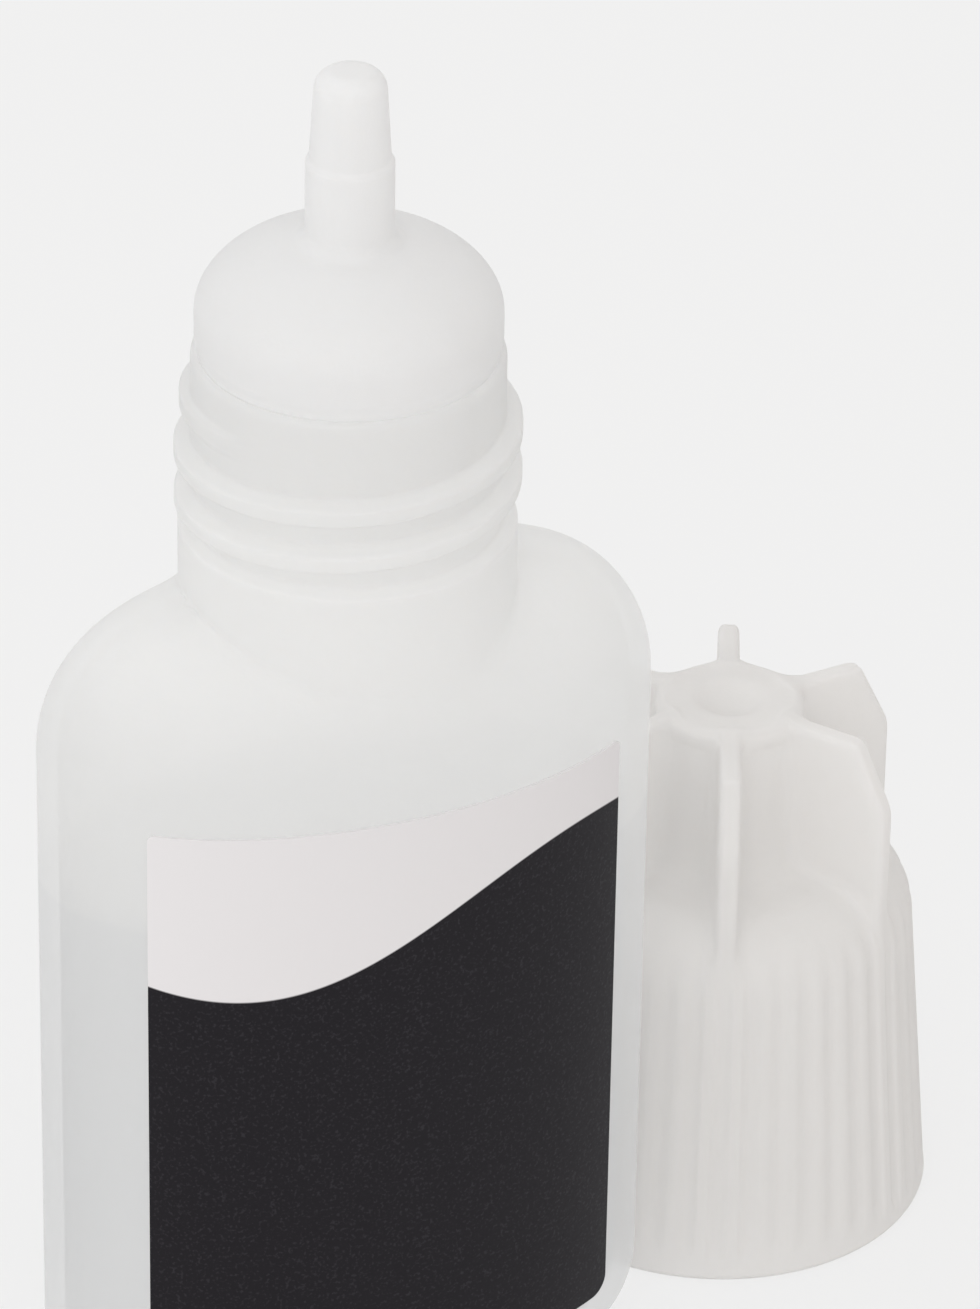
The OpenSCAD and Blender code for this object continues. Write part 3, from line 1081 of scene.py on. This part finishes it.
@dataclass
class FrontLabel:
    """Adhesive label that follows the front of the body."""

    bottle: BottleBody
    low: float
    high: float
    width: float = 21.0
    shift: float = -0.3
    thickness: float = 0.12
    film: float = 0.02
    low_round: float = 0.8
    high_round: float = 0.3
    columns: int = 72
    wall_steps: int = 60
    corner_steps: int = 8

    @classmethod
    def from_frame(cls, bottle: BottleBody) -> "FrontLabel":
        """Takes the label's lower and upper edge from its solid."""
        low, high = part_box("front_label")
        return cls(bottle=bottle, low=low.z / MM, high=high.z / MM)

    def rows(self) -> Array:
        """Rows of the label, with rounded corners at both ends.

        Returns:
            Height and half width of each row, from the lower edge up.
        """
        a = np.radians(np.linspace(0, 90, self.corner_steps + 1))
        half = self.width / 2
        foot = np.stack([self.low + self.low_round * (1 - np.cos(a)),
                         half - self.low_round * (1 - np.sin(a))], axis=1)
        head = np.stack([self.high - self.high_round * (1 - np.sin(a)),
                         half - self.high_round * (1 - np.cos(a))], axis=1)
        between = line(tuple(foot[-1]), tuple(head[0]), self.wall_steps)[1:-1]
        return np.vstack([foot, between, head])

    def sheet(self, out: float) -> Array:
        """One face of the label.

        Args:
            out: Distance of the face from the body's wall.

        Returns:
            Its points, as rows by columns by X, Y and Z.
        """
        rows = self.rows()
        across = self.shift + rows[:, 1:] * np.linspace(-1, 1, self.columns + 1)
        half_w, half_d = self.bottle.width / 2, self.bottle.depth / 2
        a = np.arccos(across / half_w)
        normal = np.stack([np.cos(a) / half_w, -np.sin(a) / half_d], axis=2)
        normal /= np.linalg.norm(normal, axis=2, keepdims=True)
        flat = np.stack([across, -half_d * np.sin(a)], axis=2) + out * normal
        return np.dstack([flat, np.repeat(rows[:, :1], self.columns + 1, axis=1)])

    def build(self, finish: Finish) -> bpy.types.Object:
        """Makes the label as a thin closed sheet and dresses it.

        Args:
            finish: Print of the label.

        Returns:
            The label's object.
        """
        front, back = self.sheet(self.film + self.thickness), self.sheet(self.film)
        count, columns = front.shape[:2]
        number = np.arange(count * columns).reshape(count, columns)
        corners = [number[:-1, :-1], number[:-1, 1:], number[1:, 1:], number[1:, :-1]]
        quads = np.stack(corners, axis=2).reshape(-1, 4)
        behind = quads[:, ::-1] + count * columns
        rim = np.concatenate([number[0], number[1:, -1], number[-1, -2::-1], number[-2:0:-1, 0]])
        next_rim = np.roll(rim, -1)
        edge = np.stack([rim, rim + count * columns, next_rim + count * columns, next_rim], axis=1)
        faces = [tuple(q) for q in np.vstack([quads, behind, edge]).tolist()]
        points = np.vstack([front.reshape(-1, 3), back.reshape(-1, 3)])
        piece = link_mesh("printed_label", points, faces)
        dress(piece, finish, Body.BOTTLE, "front_label")
        return piece


# The cap

@dataclass
class ScrewCap:
    """Screw cap with a ribbed skirt, grip fins around a core and a dimpled button."""

    centre: tuple[float, float]
    height: float
    foot_radius: float = 9.6
    foot_edge: float = 0.4
    skirt_top_radius: float = 8.5
    skirt_height: float = 13.9
    skirt_round: float = 3.35
    rib_count: int = 42
    rib_depth: float = 0.17
    rib_flank: float = 0.65
    rib_band: float = 1.1
    rib_band_edge: float = 0.5
    rib_top_angle: float = 50.0
    core_radius: float = 3.7
    core_foot: float = 18.2
    core_blend: float = 1.7
    button_radius: float = 3.25
    button_height: float = 0.9
    button_overhang: float = 0.15
    button_blend: float = 0.5
    dimple_radius: float = 1.55
    dimple_depth: float = 0.55
    dimple_blend: float = 0.2
    dimple_middle: float = 0.12
    fin_count: int = 6
    fin_half: float = 0.475
    fin_edge: float = 0.3
    fin_root: float = 2.95
    fin_reach: float = 8.15
    fin_corner: float = 6.6
    fin_slant: float = 3.2
    fin_drop: float = 0.14
    fin_slope: float = 0.08
    fin_blend: float = 0.8
    slant_blend: float = 0.2
    head_blend: float = 0.3
    turn: float = 5.6
    bore_radius: float = 7.45
    bore_height: float = 10.7
    bore_edge: float = 0.3
    dome_radius: float = 6.9
    dome_foot: float = 12.0
    dome_top: float = 15.9
    well_radius: float = 2.23
    well_top: float = 23.4
    well_middle: float = 0.2
    thread_lead: float = 3.2
    thread_turns: float = 1.5
    # Columns crowd at the flanks of the fins, whose place and width are in degrees
    sector_columns: int = 80
    flank_at: float = 4.2
    flank_width: float = 2.6
    flank_crowding: float = 5.0
    fine_points: int = 2001
    # Rings of the outside, and depths below the fins' top at which they crowd
    skirt_steps: int = 34
    bend_steps: int = 18
    bend_end: float = 88.0
    ledge_steps: int = 8
    core_steps: int = 16
    head_depth: float = 0.9
    head_low: float = 0.1
    head_high: float = 0.08
    head_steps: int = 9
    crest_over: float = 0.02
    crest_points: int = 16
    button_steps: int = 8
    dimple_steps: int = 16
    # Rings of the inside and the rim
    bore_points: int = 36
    dome_steps: int = 12
    well_steps: int = 6
    well_end_steps: int = 3
    bore_edge_steps: int = 5
    foot_edge_steps: int = 6
    foot_edge_end: float = -10.0
    # How points settle on the outside
    settle_rounds: int = 12
    probe: float = 1e-3
    least_slope: float = 0.25
    most_move: float = 0.3
    theta: Array = field(init=False)

    @classmethod
    def from_frame(cls) -> "ScrewCap":
        """Takes the cap's place and height from its solid."""
        low, high = (np.array(corner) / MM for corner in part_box("screw_cap"))
        return cls(centre=tuple(((low + high) / 2)[:2]), height=high[2])

    def __post_init__(self) -> None:
        """Spreads the columns around the axis, closer together at the flanks of the fins."""
        half_sector = 180 / self.fin_count
        fine = np.linspace(-half_sector, half_sector, self.fine_points)
        off = (np.abs(fine) - self.flank_at) / self.flank_width
        run = np.cumsum(1 + self.flank_crowding * np.exp(-off ** 2))
        share = (np.arange(self.sector_columns) + 0.5) / self.sector_columns
        sector = np.interp(share * run[-1], run, fine)
        turned = [sector + 2 * half_sector * i for i in range(self.fin_count)]
        self.theta = np.radians(np.concatenate(turned))

    @property
    def fin_top(self) -> float:
        """Height of the fins' upper outer corner."""
        return self.height - self.fin_drop

    @property
    def button_edge(self) -> float:
        """Radius of the button's rounded edge."""
        return self.button_height / 2

    def from_fin(self, angle: Array) -> Array:
        """Angle from the middle of the nearest fin."""
        sector = TURN / self.fin_count
        return angle - sector * np.round(angle / sector)

    def skirt_field(self, angle: Array, radius: Array, z: Array) -> Array:
        """Distance outside the skirt, with grooves between its ribs that run out on its rounding.

        Args:
            angle: Directions of the points in radians.
            radius: Their distances from the axis.
            z: Their heights.

        Returns:
            One signed distance for each point.
        """
        ring = self.skirt_top_radius - self.skirt_round
        draft = (self.foot_radius - self.skirt_top_radius) / self.skirt_height
        below = np.maximum(self.skirt_height - z, 0)
        above = np.maximum(z - self.skirt_height, 0)
        plain = np.hypot(np.maximum(radius - ring, 0), above) - self.skirt_round - draft * below
        rib_end = self.skirt_round * math.sin(math.radians(self.rib_top_angle))
        shown = smooth_step((z - self.rib_band) / self.rib_band_edge)
        shown = shown * (1 - smooth_step(above / rib_end))
        groove = smooth_step(0.5 + self.rib_flank * np.cos(self.rib_count * angle))
        return plain + self.rib_depth * groove * shown

    def fin_field(self, angle: Array, radius: Array, z: Array) -> Array:
        """Distance outside the nearest fin, a plate with rounded edges and a slanted corner.

        Args:
            angle: Directions of the points in radians.
            radius: Their distances from the axis.
            z: Their heights.

        Returns:
            One signed distance for each point.
        """
        turned = self.from_fin(angle)
        along, across = radius * np.cos(turned), np.abs(radius * np.sin(turned))
        inward = self.fin_reach - self.fin_corner
        slant = ((along - self.fin_corner) * self.fin_slant + (z - self.fin_top) * inward)
        slant /= math.hypot(self.fin_slant, inward)
        head = (along - self.fin_corner) * self.fin_slope + (z - self.fin_top) * self.fin_corner
        head /= math.hypot(self.fin_slope, self.fin_corner)
        outline = smooth_max(along - self.fin_reach, slant, self.slant_blend)
        outline = smooth_max(outline, head, self.head_blend)
        outline = np.maximum(outline, self.fin_root - along)
        q_outline, q_side = outline + self.fin_edge, across - self.fin_half + self.fin_edge
        corner = np.hypot(np.maximum(q_outline, 0), np.maximum(q_side, 0))
        return corner + np.minimum(np.maximum(q_outline, q_side), 0) - self.fin_edge

    def core_wall(self, z: Array) -> Array:
        """Radius of the core between the skirt and the button.

        Args:
            z: Heights of the points.

        Returns:
            One radius for each point.
        """
        core_height = self.height - self.button_height - self.core_foot
        share = np.clip((z - self.core_foot) / core_height, 0, 1)
        top_radius = self.button_radius - self.button_overhang
        return self.core_radius + (top_radius - self.core_radius) * share

    def distance(self, points: Array) -> Array:
        """Distance of points from the cap's outside, negative within it.

        Args:
            points: Rows of X, Y and Z about the cap's axis.

        Returns:
            One signed distance for each point.
        """
        x, y, z = points.T
        radius, angle = np.hypot(x, y), np.arctan2(y, x)
        edge = self.button_edge
        up = z - self.height + edge
        core = np.maximum(radius - self.core_wall(z), up)
        button = np.hypot(np.maximum(radius - self.button_radius + edge, 0), up) - edge
        ball = (self.dimple_radius ** 2 + self.dimple_depth ** 2) / (2 * self.dimple_depth)
        dimple = ball - np.hypot(radius, z - self.height - ball + self.dimple_depth)
        body = smooth_min(self.skirt_field(angle, radius, z), core, self.core_blend)
        body = smooth_min(body, self.fin_field(angle, radius, z), self.fin_blend)
        body = smooth_min(body, button, self.button_blend)
        return smooth_max(body, dimple, self.dimple_blend)

    def settle(self, points: Array) -> Array:
        """Moves points along the field's slope until they lie on the cap's outside.

        Args:
            points: Rows of X, Y and Z near the outside.

        Returns:
            The settled points.
        """
        shifts = self.probe * np.eye(3)
        for _ in range(self.settle_rounds):
            value = self.distance(points)
            slope = np.stack([
                (self.distance(points + s) - self.distance(points - s)) / (2 * self.probe)
                for s in shifts], axis=1)
            size = np.maximum((slope ** 2).sum(axis=1), self.least_slope)
            move = np.clip(value / size, -self.most_move, self.most_move)
            points = points - move[:, None] * slope
        return points

    def turned_outline(self) -> Array:
        """Outline of the skirt, the core and the button's edge, without the fins.

        Returns:
            Rows of (radius, height), from the foot up.
        """
        ring = self.skirt_top_radius - self.skirt_round
        edge = self.button_edge
        core_end = self.fin_top - self.head_depth
        crest = self.fin_slope * (1 - self.button_radius / self.fin_corner) + self.crest_over
        rim_z = np.concatenate([
            np.linspace(core_end, self.fin_top - self.head_low, self.head_steps + 1)[1:],
            np.linspace(self.fin_top - self.head_high, self.fin_top + crest, self.crest_points)])
        up = rim_z - self.height + edge
        bulge = self.button_radius - edge + np.sqrt(np.maximum(edge ** 2 - up ** 2, 0))
        core = np.where(rim_z < self.height - edge, self.core_wall(rim_z), 0)
        last = math.degrees(math.asin(up[-1] / edge))
        foot = (self.foot_radius, self.foot_edge)
        skirt_top = (self.skirt_top_radius, self.skirt_height)
        bend_top = (ring, self.skirt_height + self.skirt_round)
        core_foot = (self.core_radius, self.core_foot)
        button_centre = (self.button_radius - edge, self.height - edge)
        return np.vstack([
            line(foot, skirt_top, self.skirt_steps)[:-1],
            arc((ring, self.skirt_height), self.skirt_round, 0, self.bend_end, self.bend_steps),
            line(bend_top, core_foot, self.ledge_steps)[1:],
            line(core_foot, (self.core_wall(core_end), core_end), self.core_steps)[1:],
            np.stack([np.maximum(bulge, core), rim_z], axis=1),
            arc(button_centre, edge, last, 90, self.button_steps)[1:]])

    def fin_outline(self, z: Array) -> Array:
        """Distance from the axis at which the nearest fin ends.

        Args:
            z: Heights of the points, column by column.

        Returns:
            One distance for each point.
        """
        inward = self.fin_reach - self.fin_corner
        slant = self.fin_corner + (self.fin_top - z) * inward / self.fin_slant
        head = self.fin_corner - (z - self.fin_top) * self.fin_corner / self.fin_slope
        reach = np.minimum(self.fin_reach, slant)
        reach = np.minimum(reach, np.where(z > self.fin_top, head, self.fin_reach))
        sine = np.sin(np.abs(self.from_fin(self.theta)))
        return np.minimum(reach, self.fin_half / np.maximum(sine, TINY))

    def rough_outside(self) -> Array:
        """Points near the outside, fins included.

        Returns:
            Points of every ring from the foot to the dimple, as rings by columns by X, Y and Z.
        """
        columns = len(self.theta)
        radius, z = spread(self.turned_outline(), columns)
        radius = np.maximum(radius, np.where(z > self.skirt_height, self.fin_outline(z), 0))
        top_edge = (self.button_radius - self.button_edge, self.height)
        middle = (self.dimple_middle, self.height - self.dimple_depth)
        top = line(top_edge, middle, self.dimple_steps)[1:]
        return np.concatenate([polar_rings(self.theta, radius, z),
                               polar_rings(self.theta, *spread(top, columns))])

    def inside(self) -> tuple[Array, Array]:
        """Rings of the threaded bore, the space for the dome and the nozzle's well.

        Returns:
            Radius and height of each ring, from the rim up.
        """
        columns = len(self.theta)
        thread = Thread(self.thread_lead, 0.0, self.thread_turns)
        bore_z = np.linspace(self.bore_edge, self.bore_height, self.bore_points)[:, None]
        bore = self.bore_radius - thread.ridge(self.theta, bore_z)
        a = np.linspace(0, math.acos(self.well_radius / self.dome_radius), self.dome_steps + 1)
        dome_z = self.dome_foot + (self.dome_top - self.dome_foot) * np.sin(a)
        well_foot, well_head = (self.well_radius, self.dome_top), (self.well_radius, self.well_top)
        rest = np.vstack([
            [[self.dome_radius, self.bore_height]],
            np.stack([self.dome_radius * np.cos(a), dome_z], axis=1),
            line(well_foot, well_head, self.well_steps)[1:],
            line(well_head, (self.well_middle, self.well_top), self.well_end_steps)[1:]])
        rest_r, rest_z = spread(rest, columns)
        return np.vstack([bore, rest_r]), np.vstack([np.repeat(bore_z, columns, axis=1), rest_z])

    def rim(self) -> Array:
        """Outline of the rounded rim that the cap stands on.

        Returns:
            Rows of (radius, height), from the bore to the skirt.
        """
        inner, outer = self.bore_edge, self.foot_edge
        inner_centre = (self.bore_radius + inner, inner)
        outer_centre = (self.foot_radius - outer, outer)
        return np.vstack([
            arc(inner_centre, inner, 180, 270, self.bore_edge_steps)[1:],
            arc(outer_centre, outer, -90, self.foot_edge_end, self.foot_edge_steps)])

    def build(self, finish: Finish) -> bpy.types.Object:
        """Makes the cap as one closed shell and dresses it.

        Args:
            finish: Plastic of the cap.

        Returns:
            The cap's object.
        """
        rough = self.rough_outside()
        settled = self.settle(rough.reshape(-1, 3)).reshape(rough.shape)
        inside = polar_rings(self.theta, *self.inside())[::-1]
        rim = polar_rings(self.theta, *spread(self.rim(), len(self.theta)))
        rings = np.concatenate([inside, rim, settled])
        turned = Matrix.Rotation(math.radians(self.turn), 4, "Z")
        stand = Matrix.Translation((*self.centre, 0)) @ turned
        ends = (self.well_top, self.height - self.dimple_depth)
        piece = ring_skin("finned_cap", rings, ends, stand)
        dress(piece, finish, Body.CAP, "screw_cap")
        return piece


# The studio

@dataclass(frozen=True)
class SoftBox:
    """A square soft light that faces the object."""

    name: str
    place: tuple[float, float, float]
    size: float
    power: float
    colour: Colour = (1.0, 1.0, 1.0)

    def build(self, aim: tuple[float, float, float]) -> None:
        """Sets the light up.

        Args:
            aim: Point that it faces, in millimetres.
        """
        lamp = bpy.data.lights.new(self.name, "AREA")
        lamp.energy, lamp.size, lamp.color = self.power, self.size * MM, self.colour
        stand = bpy.data.objects.new(self.name, lamp)
        stand.location = Vector(self.place) * MM
        facing = Vector(aim) * MM - stand.location
        stand.rotation_euler = facing.to_track_quat("-Z", "Y").to_euler()
        bpy.context.scene.collection.objects.link(stand)


@dataclass(frozen=True)
class PhotoCamera:
    """The camera at the photograph's angle: it looks down on the label from the left."""

    aim: tuple[float, float, float] = (6.55, -0.02, 34.96)
    distance: float = 350.0
    azimuth: float = 23.909
    elevation: float = 31.36
    roll: float = 1.016
    lens: float = 228.08
    sensor: float = 36.0
    nearest: float = 10.0

    def build(self) -> None:
        """Makes the camera and hands it to the scene."""
        a, e, r = (math.radians(v) for v in (self.azimuth, self.elevation, self.roll))
        forward = Vector((math.sin(a) * math.cos(e), math.cos(a) * math.cos(e), -math.sin(e)))
        level = forward.cross(Vector((0, 0, 1))).normalized()
        upright = level.cross(forward)
        right = level * math.cos(r) + upright * math.sin(r)
        up = upright * math.cos(r) - level * math.sin(r)
        turned = Matrix((right, up, -forward)).transposed().to_4x4()
        place = (Vector(self.aim) - forward * self.distance) * MM
        lens = bpy.data.cameras.new("photo_camera")
        lens.lens, lens.sensor_width, lens.clip_start = self.lens, self.sensor, self.nearest * MM
        camera = bpy.data.objects.new("photo_camera", lens)
        camera.matrix_world = Matrix.Translation(place) @ turned
        bpy.context.scene.collection.objects.link(camera)
        bpy.context.scene.camera = camera


@dataclass
class Studio:
    """Pale floor, even surround and soft lights."""

    floor_half: float = 1500.0
    left_tone: Colour = (1.1, 1.1, 1.1)
    right_tone: Colour = (0.39, 0.342, 0.309)
    top_tone: Colour = (0.93, 0.93, 0.93)
    top_start: float = 0.3
    top_full: float = 0.9
    backdrop: Colour = (0.888, 0.888, 0.888)
    floor: StudioFloor = StudioFloor("studio_floor")
    aim: tuple[float, float, float] = (8.0, 0.0, 30.0)
    lights: tuple[SoftBox, ...] = (
        SoftBox("key_light", (-370.0, -830.0, 740.0), 900.0, 2.5, (1.0, 0.985, 0.965)),
    )

    def lay_floor(self) -> None:
        """Lays the floor that the object stands on."""
        half = self.floor_half
        corners = np.array([(-half, -half, 0), (half, -half, 0), (half, half, 0), (-half, half, 0)])
        ground = link_mesh("studio_floor", corners, [(0, 1, 2, 3)])
        ground.data.materials.append(self.floor.material())

    def surround(self) -> None:
        """Makes the world: a plain backdrop to look at, and light that differs by side."""
        world = bpy.data.worlds.new("studio")
        world.use_nodes = True
        graph = Graph(world.node_tree)
        rightward, _, upward = graph.parts(graph.coordinates("Generated"))
        sides = graph.mix(0.5 + 0.5 * rightward, self.left_tone, self.right_tone)
        around = graph.mix(graph.rise(upward, self.top_start, self.top_full), sides, self.top_tone)
        shown = graph.mix(seen_ray(graph), around, self.backdrop)
        sky = graph.node("ShaderNodeBackground", None, {"Color": shown, "Strength": 1.0})
        graph.finish_surface(sky.outputs[0], "ShaderNodeOutputWorld")
        bpy.context.scene.world = world

    def build(self) -> None:
        """Sets up the floor, the world and the lights."""
        self.lay_floor()
        self.surround()
        for light in self.lights:
            light.build(self.aim)
        bpy.context.scene.view_settings.view_transform = "Standard"


def main() -> None:
    """Builds the studio, the camera and every piece in order."""
    logging.basicConfig(level=logging.INFO, format="%(name)s: %(message)s")
    Studio().build()
    PhotoCamera().build()
    bottle = BottleBody.from_frame()
    glue = GlueFill.from_frame(bottle)
    bottle.build(MilkyBottle(
        "milky_bottle", (0.988, 0.988, 0.984), (0.978, 0.978, 0.974),
        subsurface=0.4, light_depth_mm=0.8, through=0.5, opacity=0.1, level=glue.level))
    glue.build(ClearGlue("clear_glue", glue.level))
    NozzlePlug.from_frame(bottle).build(MouldedPlastic(
        "milky_plug", (0.98, 0.98, 0.98), (0.968, 0.968, 0.968),
        subsurface=0.25, light_depth_mm=0.5, through=0.4, opacity=0.85))
    FrontLabel.from_frame(bottle).build(PrintedLabel("two_tone_print"))
    ScrewCap.from_frame().build(MouldedPlastic(
        "white_cap", (0.952, 0.943, 0.933), (0.942, 0.933, 0.923),
        subsurface=0.1, light_depth_mm=0.6, through=0.45))


if __name__ == "__main__":
    main()
